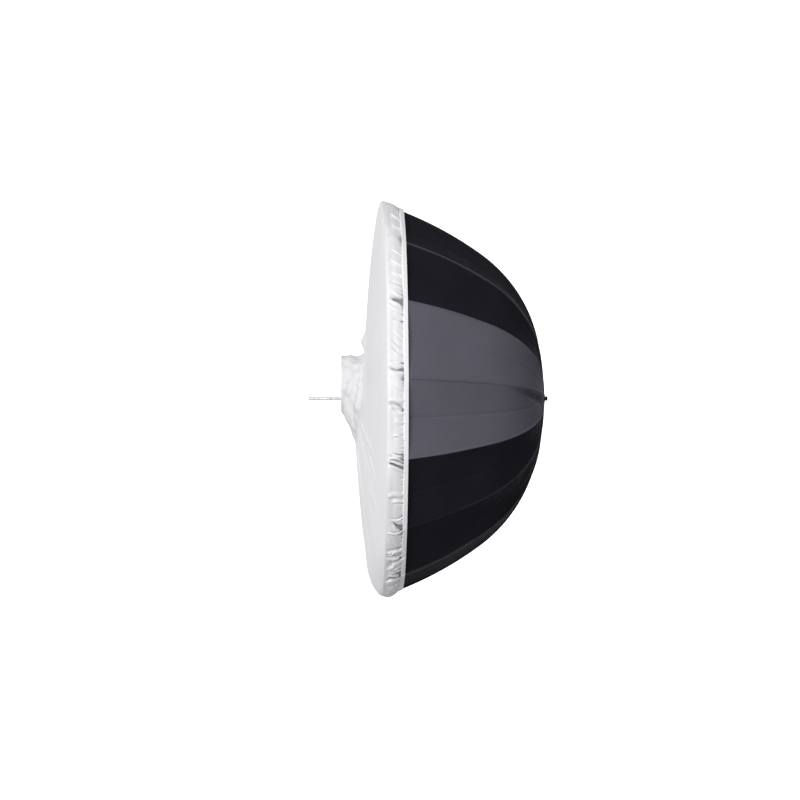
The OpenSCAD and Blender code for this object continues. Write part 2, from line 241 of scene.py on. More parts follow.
class Nodes:
    """Builds one material's node tree."""

    def __init__(self, name):
        self.material = bpy.data.materials.new(name)
        self.material.use_nodes = True
        self.tree = self.material.node_tree
        self.tree.nodes.clear()
        self.out = self.add("ShaderNodeOutputMaterial")
        self.shader = self.add("ShaderNodeBsdfPrincipled")
        self.link(self.shader.outputs[0], self.out.inputs[0])

    def add(self, kind, **values):
        """A new node; each value sets a property of the node, or else the input of that name."""
        node = self.tree.nodes.new(kind)
        for key, value in values.items():
            if hasattr(node, key):
                setattr(node, key, value)
            else:
                node.inputs[key.replace("_", " ").title()].default_value = value
        return node

    def link(self, source, target):
        self.tree.links.new(source, target)

    def math(self, operation, a, b=None, clamp=False):
        node = self.add("ShaderNodeMath", operation=operation, use_clamp=clamp)
        for slot, value in enumerate((a, b)):
            if value is None:
                continue
            if isinstance(value, (int, float)):
                node.inputs[slot].default_value = value
            else:
                self.link(value, node.inputs[slot])
        return node.outputs[0]

    def noise(self, coordinates, scale, detail=3.0, roughness=0.5, stretch=None):
        if stretch:
            mapping = self.add("ShaderNodeMapping")
            mapping.inputs["Scale"].default_value = stretch
            self.link(coordinates, mapping.inputs["Vector"])
            coordinates = mapping.outputs[0]
        node = self.add("ShaderNodeTexNoise")
        node.inputs["Scale"].default_value = scale
        node.inputs["Detail"].default_value = detail
        node.inputs["Roughness"].default_value = roughness
        self.link(coordinates, node.inputs["Vector"])
        return node.outputs["Fac"]

    def split(self, vector):
        """The three parts of a vector."""
        node = self.add("ShaderNodeSeparateXYZ")
        self.link(vector, node.inputs[0])
        return tuple(node.outputs)

    def rise(self, value, low, high, interpolation="LINEAR"):
        """0 where value is under low, 1 where it is over high."""
        node = self.add("ShaderNodeMapRange", interpolation_type=interpolation)
        node.inputs["From Min"].default_value = low
        node.inputs["From Max"].default_value = high
        self.link(value, node.inputs["Value"])
        return node.outputs["Result"]

    def stripes(self, coordinate, per_metre):
        """A wave from -1 to 1, per_metre times a metre."""
        return self.math("SINE", self.math("MULTIPLY", coordinate, 2 * math.pi * per_metre))

    def ramp(self, factor, stops):
        node = self.add("ShaderNodeValToRGB")
        self.link(factor, node.inputs[0])
        ramp = node.color_ramp
        while len(ramp.elements) < len(stops):
            ramp.elements.new(0.5)
        for element, (place, colour) in zip(ramp.elements, stops):
            element.position = place
            element.color = (*colour, 1.0)
        return node.outputs[0]

    def mix(self, factor, a, b):
        node = self.add("ShaderNodeMix", data_type="RGBA")
        self.link(factor, node.inputs[0])
        for slot, value in zip(MIX_COLOURS, (a, b)):
            if isinstance(value, tuple):
                node.inputs[slot].default_value = (*value, 1.0)
            else:
                self.link(value, node.inputs[slot])
        return node.outputs[MIX_RESULT]

    def bump(self, height, distance, strength=1.0, after=None):
        node = self.add("ShaderNodeBump")
        node.inputs["Strength"].default_value = strength
        node.inputs["Distance"].default_value = distance
        self.link(height, node.inputs["Height"])
        if after is not None:
            self.link(after, node.inputs["Normal"])
        return node.outputs[0]

    def set(self, **values):
        for key, value in values.items():
            self.shader.inputs[key.replace("_", " ")].default_value = value


THREADS_PER_METRE = 1600.0
WEAVE_DEPTH = 0.00006
GRAIN_PER_METRE = 260.0
CREASE_DEPTH = 0.0012
# the band's cloth stays this far off the canopy, and hides it from the second distance on; nearer, its
# darker tint is partly the black showing through and partly painted shade in its creases
CLEARANCE = 0.0012
CLEAR_GAP = 0.0088
# a seam has a raised middle, this far to each side, and a row of stitches on each side of it;
# the thread is out of sight for the last value's share of each stitch
RIDGE_HALF = 0.0026
STITCH_OFFSET = 0.0042
STITCH_HALF = 0.00035
STITCH_LENGTH = 0.0032
STITCH_GAP = 0.28
# painted highlight on the seams, for light from above: there is none under the first height, and all of it
# over the second
SEAM_HIGHLIGHT_HEIGHTS = (-0.33, -0.15)


def shades(colour, dark, light):
    """A darker and a lighter shade of a colour."""
    return tuple(c * dark for c in colour), tuple(c * light for c in colour)


def cloth_tint(n, place, uv, colour, spread, slub):
    """The cloth's colour, cloudy with a fine grain, and the cloudiness itself. slub adds uneven threads."""
    dark, light = shades(colour, 1 - spread, 1 + spread)
    cloudy = n.noise(place, 9.0, detail=4.0)
    tint = n.ramp(cloudy, [(0.3, dark), (0.7, light)])
    if slub:
        streak = n.noise(uv, 60.0, detail=2.0, stretch=(14.0, 1.0, 1.0))
        tint = n.mix(n.math("MULTIPLY", streak, 0.35), tint, dark)
    grain = n.noise(place, GRAIN_PER_METRE, detail=3.0, roughness=0.7)
    specks = n.math("MULTIPLY", n.math("SUBTRACT", grain, 0.4, clamp=True), 3.0, clamp=True)
    return n.mix(specks, tint, light), cloudy


def cloth_relief(n, place, across, along):
    """The weave and soft creases, as a normal."""
    weave = n.math("MULTIPLY", n.stripes(across, THREADS_PER_METRE), n.stripes(along, THREADS_PER_METRE))
    normal = n.bump(weave, WEAVE_DEPTH, strength=0.5)
    crease = n.noise(place, 26.0, detail=5.0, roughness=0.6)
    return n.bump(crease, CREASE_DEPTH, strength=0.22, after=normal)


def sewn_seam(n, place, across, along, tint, normal, thread):
    """Sews the seam at across = 0: its middle and its stitches take the thread's colour as a painted
    highlight, strongest where the seam lies high.
    """
    off_middle = n.math("ABSOLUTE", across)
    off_row = n.math("ABSOLUTE", n.math("SUBTRACT", off_middle, STITCH_OFFSET))
    on_row = n.math("LESS_THAN", off_row, STITCH_HALF)
    beat = n.math("FRACT", n.math("MULTIPLY", along, 1 / STITCH_LENGTH))
    stitch = n.math("MULTIPLY", on_row, n.math("GREATER_THAN", beat, STITCH_GAP))
    ridge = n.math("LESS_THAN", off_middle, RIDGE_HALF)
    # painted highlight: the higher the seam lies, the more of the seam colour it takes, for light from above
    highlight_by_height = n.rise(n.split(place)[2], *SEAM_HIGHLIGHT_HEIGHTS)
    painted_seam_highlight = n.math("MULTIPLY", n.math("MAXIMUM", stitch, ridge), highlight_by_height)
    return n.mix(painted_seam_highlight, tint, thread), n.bump(stitch, 0.0003, strength=0.8, after=normal)


def woven(name, colour, roughness, specular, spread=0.18, sheen=0.0, thread=None, slub=True,
          show_through_and_shade=None):
    """Plain-woven cloth. thread is the colour of its seams, if it has any; where it is lighter than the
    cloth it is a painted highlight. show_through_and_shade is the colour of thin
    cloth close over black cloth: partly the black showing through, partly painted shade in the creases that
    reach it. The mesh's gap attribute gives the distance."""
    n = Nodes(name)
    uv = n.add("ShaderNodeUVMap", uv_map="cloth").outputs[0]
    across, along, _ = n.split(uv)
    place = n.add("ShaderNodeTexCoord").outputs["Object"]
    tint, cloudy = cloth_tint(n, place, uv, colour, spread, slub)
    normal = cloth_relief(n, place, across, along)
    # the band is darker where it lies close to the canopy: partly the black showing through, partly painted
    # shade in its deepest creases
    if show_through_and_shade:
        gap = n.add("ShaderNodeAttribute", attribute_name="gap").outputs["Fac"]
        tint = n.mix(n.rise(gap, CLEARANCE, CLEAR_GAP, "SMOOTHSTEP"), show_through_and_shade, tint)
    # where the seam colour is lighter than the cloth, it is a painted highlight
    if thread:
        tint, normal = sewn_seam(n, place, across, along, tint, normal, thread)
    n.link(tint, n.shader.inputs["Base Color"])
    n.link(normal, n.shader.inputs["Normal"])
    rough = n.math("ADD", n.math("MULTIPLY", cloudy, 0.12), roughness - 0.06, clamp=True)
    n.link(rough, n.shader.inputs["Roughness"])
    n.set(Specular_IOR_Level=specular, Sheen_Weight=sheen, Sheen_Roughness=0.5)
    return n.material


# spots of the wear pattern over this level are worn
WORN_FROM = 0.66


def solid(name, colour, roughness, metallic=0.0, specular=0.5, grain=300.0, depth=0.00004, brushed=False,
          wear=None, even=False):
    """Plastic or metal with uneven gloss and a fine grain. brushed adds lines along X, wear is the colour of
    worn spots, and even keeps the colour nearly flat."""
    n = Nodes(name)
    place = n.add("ShaderNodeTexCoord").outputs["Object"]
    stretch = (0.06, 1.0, 1.0) if brushed else None
    fine = n.noise(place, grain, detail=4.0, roughness=0.6, stretch=stretch)
    broad = n.noise(place, 35.0, detail=3.0)
    dark, light = shades(colour, 0.98, 1.01) if even else shades(colour, 0.82, 1.12)
    tint = n.ramp(broad, [(0.3, dark), (0.72, tuple(min(c, 1.0) for c in light))])
    if wear is not None:
        spots = n.noise(place, 140.0, detail=6.0, roughness=0.7)
        mask = n.math("MULTIPLY", n.math("SUBTRACT", spots, WORN_FROM, clamp=True), 6.0, clamp=True)
        tint = n.mix(mask, tint, wear)
    n.link(tint, n.shader.inputs["Base Color"])
    rough = n.math("ADD", n.math("MULTIPLY", fine, 0.22), roughness - 0.11, clamp=True)
    n.link(rough, n.shader.inputs["Roughness"])
    n.link(n.bump(fine, depth, strength=0.6), n.shader.inputs["Normal"])
    n.set(Metallic=metallic, Specular_IOR_Level=specular)
    return n.material


BLACK = (0.0140, 0.0134, 0.0192)
GREY = (0.117, 0.112, 0.139)
WHITE = (0.80, 0.80, 0.825)
# painted shade: the sleeve is the front's white cloth made darker, for the light it catches
SLEEVE_SHADED_WHITE = (0.69, 0.69, 0.705)
# painted light: the band is the front's white cloth made brighter, for the light that comes through it
HEM_LIT_WHITE = (0.93, 0.93, 0.945)
# the band's colour close over the canopy: partly the black showing through, partly painted crease shade
HEM_SHOW_THROUGH_AND_SHADE = (0.27, 0.275, 0.31)
SILVER = (0.62, 0.62, 0.64)
# painted highlight: the black seams' colour is far lighter than the black cloth, for seams that catch light;
# the grey seams' colour is nearly the grey cloth's own
BLACK_SEAM_HIGHLIGHT = (0.080, 0.077, 0.092)
GREY_THREAD = (0.12, 0.115, 0.14)
BARE_STEEL = (0.16, 0.16, 0.17)
black_cloth = woven("black_cloth", BLACK, 0.62, 0.02, thread=BLACK_SEAM_HIGHLIGHT)
grey_cloth = woven("grey_cloth", GREY, 0.66, 0.05, spread=0.07, thread=GREY_THREAD)
lining_cloth = woven("silver_lining", SILVER, 0.42, 0.5, spread=0.06)
diffuser_cloth = woven("diffuser_cloth", WHITE, 0.7, 0.2, spread=0.02, sheen=0.08, slub=False)
shaded_sleeve_cloth = woven("shaded_sleeve_cloth", SLEEVE_SHADED_WHITE, 0.75, 0.1, spread=0.02, sheen=0.05, slub=False)
lit_hem_cloth = woven("lit_hem_cloth", HEM_LIT_WHITE, 0.68, 0.2, spread=0.02, slub=False, show_through_and_shade=HEM_SHOW_THROUGH_AND_SHADE)
black_plastic = solid("black_plastic", (0.014, 0.014, 0.016), 0.46, grain=900.0)
shaft_steel = solid("plated_steel", SILVER, 0.24, metallic=1.0, brushed=True)
wire_steel = solid("drawn_wire", (0.5, 0.5, 0.52), 0.34, metallic=1.0, brushed=True)
spring_steel = solid("spring_steel", (0.46, 0.46, 0.5), 0.3, metallic=1.0, brushed=True)
black_steel = solid("lacquered_steel", (0.02, 0.02, 0.022), 0.38, grain=500.0, wear=BARE_STEEL)
glass_fibre = solid("glass_fibre", (0.018, 0.018, 0.02), 0.4, grain=600.0, brushed=True)


def finish_cad_nodes():
    """Gives every CAD node that stays in view its finished material."""
    finishes = {
        "shaft": shaft_steel, "shaft_end_plug": black_plastic, "crown": black_plastic,
        "crown_ring": wire_steel, "ferrule": black_plastic, "stop_ring": wire_steel,
        "runner": black_plastic, "runner_ring": wire_steel, "catch": spring_steel,
    }
    for number in range(1, RIB_COUNT + 1):
        finishes[numbered("rib", number)] = glass_fibre
        finishes[numbered("stretcher", number)] = black_steel
    for node, material in finishes.items():
        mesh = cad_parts[node].data
        mesh.materials.clear()
        mesh.materials.append(material)


finish_cad_nodes()

# ---------------------------------------------------------------- canopy
# the mesh has columns at these distances from the seam, more out to the gore's edge, and some on its flap
SEAM_COLUMNS = (0.0, 0.0012, 0.0024, 0.0036, 0.0048, 0.0065, 0.009, 0.0125)
# the seam's columns close up where the gore is narrower than this on each side
SEAM_FULL_HALF = 0.032
FIELD_COLUMNS = 15
FLAP_COLUMNS = 4
GORE_ROWS = 150
# the cloth is raised over the rib and at the hem, and a panel sags by this share of its half width
SEAM_HEIGHT = 0.0022
SEAM_HALF_WIDTH = 0.0030
RIM_HEM_WIDTH = 0.014
RIM_HEM_HEIGHT = 0.0009
SAG_SHARE = 0.055
# a folded gore is this much narrower; where its ribs stay further apart, a flap under the next gore fills in
FOLDED_WIDTH = 0.42
WIDEST_FLAP = 1.8
FLAP_LIP = 0.0012
FLAP_DEPTH = 0.0014
GREY_PANELS = (1, 16)
# the cloth of this panel is slack beside its second rib: it falls away under the seam near the apex
TUCKED_PANEL = 16
TUCK_DEPTH = 0.034
TUCK_EDGE = 0.0036
TUCK_STEEP = 0.0050
TUCK_REACH = 0.022


def panel_of(rib, side):
    """Number of the panel beside a rib: panel n lies between ribs n and n + 1."""
    return rib if side > 0 else (rib - 2) % RIB_COUNT + 1


def slow_waves(rng, share, along):
    """Slow waves that run along the ribs."""
    wave = np.zeros_like(share)
    for _ in range(7):
        length, tilt = rng.uniform(0.16, 0.42), rng.uniform(-1.2, 1.2)
        phase, size = rng.uniform(0, 2 * np.pi), rng.uniform(0.0002, 0.0007)
        wave += size * np.sin(2 * np.pi * along / length + tilt * np.pi * share + phase)
    return wave


def seam_puckers(rng, share, along, half_width):
    """Short puckers that run in from both seams of a panel near the apex."""
    pucker = np.zeros_like(share)
    for seam in (0, 2):
        off_seam = np.abs(share - seam) * half_width
        for _ in range(3):
            centre, width = rng.uniform(0.008, 0.022), rng.uniform(0.003, 0.006)
            first, last = rng.uniform(0.03, 0.07), rng.uniform(0.14, 0.3)
            size = rng.uniform(0.0004, 0.0013)
            reach = smoothstep(first, first + 0.03, along) * (1 - smoothstep(last - 0.08, last, along))
            lean = 0.05 * (along - first)
            pucker += size * reach * np.exp(-(((off_seam - centre - lean) / width) ** 2))
    return pucker


def slack_tuck(share, along, half_width):
    """How far slack cloth falls away beside the panel's second rib."""
    off_seam = np.maximum((2 - share) * half_width - TUCK_EDGE, 0)
    reach = smoothstep(0.05, 0.15, along) * (1 - smoothstep(0.24, 0.48, along))
    drop = 1 - np.exp(-((off_seam / TUCK_STEEP) ** 2))
    return TUCK_DEPTH * reach * drop * np.exp(-off_seam / TUCK_REACH)


def panel_relief(panel, share, along, half_width):
    """How far the cloth lies inside the chord between two ribs, in metres.
    share runs from 0 at the panel's own rib to 2 at the next one."""
    rng = np.random.default_rng(700 + panel)
    span = np.sin(np.pi * np.clip(share, 0, 2) / 2)
    middle = 1 - np.abs(share - 1)
    sag = SAG_SHARE * half_width * span * smoothstep(0.0, 0.12, along)
    wave = slow_waves(rng, share, along)
    # the fold down the middle of each panel, from packing
    from_fold = (1 - middle) * half_width
    fold = rng.uniform(0.0014, 0.0024) * np.exp(-((from_fold / 0.0032) ** 2))
    pucker = seam_puckers(rng, share, along, half_width)
    relief = sag + (wave + fold + pucker) * smoothstep(0, 0.012, span * half_width)
    if panel == TUCKED_PANEL:
        relief += slack_tuck(share, along, half_width)
    return relief


def outward(turn):
    """Unit vector away from the shaft at a turn about it."""
    return np.array([0.0, math.cos(turn), math.sin(turn)])


def inward_normals(heading, turn):
    """Unit normals of the canopy's meridian at a turn about the shaft, into the bowl."""
    return np.stack(
        [-np.cos(heading), -np.sin(heading) * math.cos(turn), -np.sin(heading) * math.sin(turn)], 1)


def gore_columns(x, r, half):
    """Distances of the gore's columns from its seam, for each row."""
    seam_zone = SEAM_COLUMNS[-1] * np.minimum(1, half / SEAM_FULL_HALF)
    columns = []
    for place in SEAM_COLUMNS:
        columns.append(place / SEAM_COLUMNS[-1] * seam_zone)
    for k in range(1, FIELD_COLUMNS + 1):
        t = (k / FIELD_COLUMNS) ** 0.9
        columns.append(seam_zone + (half - seam_zone) * t)
    reached = np.minimum(folded_share(x, r) / FOLDED_WIDTH, WIDEST_FLAP)
    flap_edge = np.maximum(1 + FLAP_LIP / half, reached)
    for k in range(1, FLAP_COLUMNS + 1):
        columns.append(half * (1 + (flap_edge - 1) * k / FLAP_COLUMNS))
    return np.stack(columns, 1)


def gore_side(number, side, along, off_seam, half):
    """The outer face of one half of a gore: side is -1 for the half towards the rib before, and else 1."""
    x, r, heading = meridian(along)
    share = off_seam / half[:, None]
    rib_turn, other_turn = rib_angle(number), rib_angle(number + side)
    spine = x[:, None] * SHAFT_AXIS + r[:, None] * outward(rib_turn)
    other = x[:, None] * SHAFT_AXIS + r[:, None] * outward(other_turn)
    points = spine[:, None] + (other - spine)[:, None] * (share[..., None] / 2)
    on_panel = share if side > 0 else 2 - share
    every_along, every_half = along[:, None] + 0 * share, half[:, None] + 0 * share
    depth = panel_relief(panel_of(number, side), on_panel, every_along, every_half)
    at_rib = inward_normals(heading, rib_turn)
    at_middle = inward_normals(heading, (rib_turn + other_turn) / 2)
    blend = smoothstep(0, 1, share)[..., None]
    inward = at_rib[:, None] * (1 - blend) + at_middle[:, None] * blend
    inward /= np.linalg.norm(inward, axis=-1, keepdims=True)
    seam_starts = smoothstep(0.014, 0.05, along)[:, None]
    seam = SEAM_HEIGHT * np.exp(-((off_seam / SEAM_HALF_WIDTH) ** 4)) * seam_starts
    hem_start = RIB_LENGTH - RIM_HEM_WIDTH
    hem = RIM_HEM_HEIGHT * smoothstep(hem_start, hem_start + 0.002, along)[:, None]
    flap = FLAP_DEPTH * smoothstep(0.0, 0.004, off_seam - half[:, None])
    return points + inward * (depth - seam - hem + flap)[..., None]


def gore_slots(number, column_count):
    """Material slot of each column of a gore's outer face: 0 for a black panel, 1 for a grey one."""
    slots = np.zeros(column_count, int)
    middle = column_count // 2
    slots[:middle] = 1 if panel_of(number, -1) in GREY_PANELS else 0
    slots[middle:] = 1 if panel_of(number, 1) in GREY_PANELS else 0
    return slots


def make_gore(number):
    """The cloth that one rib carries, from the middle of one panel to the middle of the next."""
    along = GORE_START + (RIB_LENGTH - GORE_START) * np.linspace(0, 1, GORE_ROWS) ** 0.93
    x, r, _ = meridian(along)
    half = r * math.sin(RIB_STEP / 2)
    off_seam = gore_columns(x, r, half)
    left, right = (gore_side(number, side, along, off_seam, half) for side in (-1, 1))
    points = np.concatenate([left[:, :0:-1], right], axis=1)
    across = np.concatenate([-off_seam[:, :0:-1], off_seam], axis=1)
    uv = np.stack([across, along[:, None] + 0 * across], -1)
    slots = gore_slots(number, points.shape[1] - 1)
    piece = cloth_sheet(
        numbered("canopy_gore", number), points, uv, FABRIC,
        [black_cloth, grey_cloth, lining_cloth], slots, 2)
    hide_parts(numbered("gore", number))
    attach(piece, numbered("rib", number) + "_body")
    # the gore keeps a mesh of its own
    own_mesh(piece)


for number in range(1, RIB_COUNT + 1):
    make_gore(number)


# ---------------------------------------------------------------- apex: cloth washer and ferrule
def at_apex(profile):
    """Places a profile of (x, radius) in millimetres, with x from the canopy's apex, in the frame."""
    return [(APEX_X + x / 1000, r / 1000) for x, r in profile]


def make_apex():
    """The washer under the canopy's middle and the knob that closes it."""
    washer = turned_piece(
        "apex_washer",
        at_apex([(-1.6, 4.5), (-2.2, 21.0), (-1.4, 21.5), (0.6, 19.8), (1.0, 18.0), (0.8, 4.5)]),
        black_plastic)
    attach(washer, "shaft_assembly")
    flange = [(1.4, 15.1), (1.2, 15.3), (1.5, 15.5), (2.6, 15.2), (3.3, 14.2), (3.7, 12.6), (4.2, 8.0)]
    neck = [(4.5, 5.4), (5.0, 4.9), (5.6, 5.1)]
    knob = [(6.3, 6.6), (7.1, 7.5), (8.2, 7.8), (9.6, 7.6), (10.7, 6.9), (11.7, 5.6), (12.4, 3.6)]
    tip = [(12.8, 1.6), (12.9, 0.3)]
    knob_start = len(flange + neck)
    ferrule = turned_piece(
        "ferrule_cap", at_apex(flange + neck + knob + tip), black_plastic,
        sides=120, flutes=12, flute_depth=0.0012, flute_rows=range(knob_start + 1, knob_start + 5))
    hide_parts("ferrule")
    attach(ferrule, "shaft_assembly")


make_apex()

# ---------------------------------------------------------------- diffuser
_, front_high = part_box("diffuser_front")
_, band_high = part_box("diffuser_band")
sleeve_low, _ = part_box("diffuser_sleeve")
RIM_X = front_high.x
RIM_R = front_high.z
HEM_X = band_high.x
MOUTH_X = sleeve_low.x
MOUTH_R = 0.085
MOUTH_Z = 0.050
ROOT_R = 0.134
# the front comes forward by these at the sleeve's root, above and below it, as a power of the way in
RISE_TOP = 0.053
RISE_BOTTOM = 0.082
PROFILE_POWER = 0.48
SIDE_POWER = 0.36
# low on the front the cloth is slack and hangs this far forward, around this reach
LOW_HANG = 0.010
HANG_REACH = 0.16
HANG_WIDTH = 0.14
RIDGE_BACK = 0.004
FRONT_COLUMNS = 640
FRONT_ROWS = 96
SLEEVE_ROWS = 44
BAND_COLUMNS = 2400
BAND_ROWS = 44
BOTTOM = 270.0
# a fold's crest is followed at this many spots, and shapes the cloth within this many degrees of its ends
CREST_SPOTS = 44
FOLD_MARGIN = 24.0
# rows this near the sleeve's root or the rim are rounded off
ROOT_ROWS = (9, 7)
RIM_ROWS = 6


def canopy_radius(x):
    """The canopy's radius on a rib, at places along the shaft."""
    along = np.linspace(0, RIB_LENGTH, 2000)
    mx, mr, _ = meridian(along)
    return np.interp(x, mx[::-1], mr[::-1])


def between_ribs(turn):
    """The canopy's outline at a turn about the shaft, as a share of its radius on the ribs.
    It has a flat side for each panel."""
    off_middle = (turn - FIRST_RIB) % RIB_STEP - RIB_STEP / 2
    return math.cos(RIB_STEP / 2) / np.cos(off_middle)


def ridge_x(turn):
    """Where the front turns into the band, along the shaft: furthest back at the two sides."""
    return RIM_X + RIDGE_BACK * np.cos(turn) ** 2


def front_point(turn, reach):
    """A point of the diffuser: turn in degrees from +Y towards +Z, and reach from 0 at the rim through 1 at
    the sleeve's root to 2 at its mouth."""
    turn, reach = np.broadcast_arrays(np.radians(turn), np.asarray(reach, float))
    on_front = np.clip(reach, 0, 1)
    up, side = np.sin(turn), np.cos(turn) ** 2
    power = PROFILE_POWER + SIDE_POWER * side
    rise = (RISE_TOP * (1 + up) / 2 + RISE_BOTTOM * (1 - up) / 2) * on_front ** power
    hang = np.exp(-((on_front - HANG_REACH) / HANG_WIDTH) ** 2) * smoothstep(0.0, 0.08, on_front)
    rise += LOW_HANG * np.clip(-up, 0, 1) ** 3 * hang
    r = RIM_R + (ROOT_R - RIM_R) * on_front
    x = ridge_x(turn) * (1 - on_front) + RIM_X * on_front - rise
    front = np.stack([x, r * np.cos(turn), r * np.sin(turn)], -1)
    mouth = np.stack([0 * turn + MOUTH_X, MOUTH_R * np.cos(turn), MOUTH_R * np.sin(turn) + MOUTH_Z], -1)
    return front + (mouth - front) * np.clip(reach - 1, 0, 1)[..., None]


def add_fold(relief, points, turns, path, height, width, bite=0.45):
    """Adds a soft fold to relief. Its crest follows a path of (turn, reach) control points, and both ends
    taper. bite sets the furrow beside the crest, as a share of its height."""
    controls = np.array(path, float)
    spots = np.linspace(0, 1, CREST_SPOTS)
    places = np.linspace(0, 1, len(controls))
    degree = min(2, len(controls) - 1)
    turn, reach = (np.polyval(np.polyfit(places, controls[:, k], degree), spots) for k in (0, 1))
    middle, spread = (turn.min() + turn.max()) / 2, (turn.max() - turn.min()) / 2 + FOLD_MARGIN
    near = np.flatnonzero(np.abs((turns - middle + 180) % 360 - 180) < spread)
    here = points[:, near]
    nearest = np.full(here.shape[:2], np.inf)
    taper = np.zeros(here.shape[:2])
    for spot, centre in zip(spots, front_point(turn, reach)):
        distance = np.sqrt(((here - centre) ** 2).sum(-1))
        closer = distance < nearest
        nearest = np.where(closer, distance, nearest)
        taper = np.where(closer, max(0.0, math.sin(math.pi * (0.08 + 0.92 * spot))) ** 0.6, taper)
    ridge = np.exp(-((nearest / width) ** 2))
    furrow = np.exp(-(((nearest - 2.1 * width) / width) ** 2))
    relief[:, near] += height * taper * (ridge - bite * furrow)


def add_spokes(relief, turns, reach, seed, count, span, heights, degrees, ends):
    """Adds soft folds that run out from the sleeve's root towards the rim, spread over a span of turns."""
    rng = np.random.default_rng(seed)
    for k in range(count):
        centre = span[0] + (k + rng.uniform(0.1, 0.9)) / count * (span[1] - span[0])
        width, end = rng.uniform(*degrees), rng.uniform(*ends)
        bend = rng.uniform(-9, 9)
        off = (turns[None] - centre - bend * (1 - reach) ** 2 + 180) % 360 - 180
        envelope = smoothstep(end - 0.12, end + 0.25, reach) * (1 - smoothstep(0.82, 1.0, reach))
        shape = np.exp(-((off / width) ** 2)) - 0.4 * np.exp(-(((off - 2 * width) / width) ** 2))
        relief += rng.uniform(*heights) * envelope * shape


def mirrored(path):
    """The same path on the +Y side."""
    return [(540 - turn if turn > 180 else 180 - turn, reach) for turn, reach in path]


def front_folds(points, turns, reach):
    """All the folds of the front and its sleeve, as a height over the smooth cloth."""
    # crests on the sleeve that fan out from the top of its root: path, height, width
    fan = [
        ([(116, 1.06), (132, 1.40), (146, 1.84)], 0.0042, 0.0080),
        ([(122, 1.02), (154, 1.30), (178, 1.60), (206, 1.66)], 0.0060, 0.0110),
        ([(128, 1.00), (162, 1.10), (200, 1.16)], 0.0054, 0.0092),
        ([(206, 1.86), (222, 1.50), (238, 1.12)], 0.0060, 0.0075),
        ([(222, 1.90), (236, 1.55), (246, 1.22)], 0.0048, 0.0058),
        ([(192, 1.90), (210, 1.62), (224, 1.28)], 0.0040, 0.0082),
        ([(214, 1.97), (216, 1.91), (219, 1.84)], 0.0026, 0.0042),
        ([(232, 1.97), (233, 1.92), (236, 1.84)], 0.0026, 0.0042),
        ([(256, 1.95), (258, 1.88), (262, 1.78)], 0.0026, 0.0050),
    ]
    # swags on the front, beside the root
    swags = [
        ([(118, 0.955), (146, 0.925), (172, 0.935)], 0.0040, 0.0100),
        ([(112, 0.93), (138, 0.85), (168, 0.84), (196, 0.88)], 0.0030, 0.0150),
    ]
    relief = np.zeros(points.shape[:2])
    for path, height, width in fan + swags:
        add_fold(relief, points, turns, path, height, width)
    for path, height, width in fan:
        add_fold(relief, points, turns, mirrored(path), 0.8 * height, 1.15 * width)
    add_spokes(relief, turns, reach, 31, 17, (196, 344), (0.0018, 0.0046), (1.6, 3.6), (0.05, 0.5))
    add_spokes(relief, turns, reach, 32, 11, (-14, 194), (0.0008, 0.0021), (2.6, 5.5), (0.15, 0.55))
    # the puff where the front is slack, just above the sleeve
    add_fold(relief, points, turns, [(70, 0.915), (90, 0.905), (110, 0.915)], 0.0140, 0.0230, 0.0)
    return relief


def smooth_rows(points, first, last, rounds):
    """Rounds off the profile between two rows, in place."""
    for _ in range(rounds):
        middle = (points[first - 1:last - 1] + points[first + 1:last + 1]) / 2
        points[first:last] = (points[first:last] + middle) / 2


def make_front():
    """The front of the diffuser with its sleeve, as one sheet; the sleeve takes a darker copy of the front's
    cloth, a painted shade.
    """
    turn = 360.0 - np.arange(FRONT_COLUMNS) * 360.0 / FRONT_COLUMNS
    front_rows = np.linspace(0, 1, FRONT_ROWS) ** 1.2
    sleeve_rows = 1 + np.linspace(0, 1, SLEEVE_ROWS + 1)[1:]
    reach = np.concatenate([front_rows, sleeve_rows])[:, None]
    points = front_point(turn[None], reach)
    smooth_rows(points, FRONT_ROWS - ROOT_ROWS[0], FRONT_ROWS + ROOT_ROWS[1], 30)
    smooth_rows(points, 1, RIM_ROWS, 6)
    relief = front_folds(points, turn, reach)
    rng = np.random.default_rng(17)
    angle = np.radians(turn)[None]
    for _ in range(9):
        waves, climb, phase = rng.integers(3, 17), rng.uniform(-5, 5), rng.uniform(0, 6.3)
        relief += rng.uniform(0.0002, 0.0007) * np.sin(waves * angle + climb * reach + phase)
    held = smoothstep(0.0, 0.05, reach) * (1 - smoothstep(1.93, 2.0, reach))
    hem = 0.0011 * smoothstep(1.87, 1.875, reach)
    points = points + grid_normals(points, True) * (relief * held + hem)[..., None]
    steps = np.linalg.norm(np.diff(points, axis=0), axis=-1)
    along = np.concatenate([np.zeros((1, FRONT_COLUMNS)), np.cumsum(steps, 0)])
    uv = np.stack([angle * ROOT_R + 0 * along, along], -1)
    on_sleeve = np.arange(len(points) - 1)[:, None] >= FRONT_ROWS - 1
    piece = cloth_sheet(
        "diffuser_sheet", points, uv, FABRIC, [diffuser_cloth, shaded_sleeve_cloth], on_sleeve, 0, wrap=True)
    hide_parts("diffuser_front", "diffuser_sleeve")
    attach(piece, "diffuser")


# the stitch line runs round the band this far from the ridge, and the casing lies behind it
STITCH_ACROSS = 0.050
HEM_THICK = 0.0019
# the band goes this share of the way from round to the canopy's flat sides; it puffs out, more at the
# bottom, and its folds rise no higher than the last value
BAND_SLACK = 0.45
PUFF_START = 0.0032
PUFF = 0.0048
SLACK_PUFF = 0.002
HIGHEST_FOLD = 0.0034
LONG_FOLDS = 190
CRUMPLES = 72
CRUMPLED_DEGREES = 44


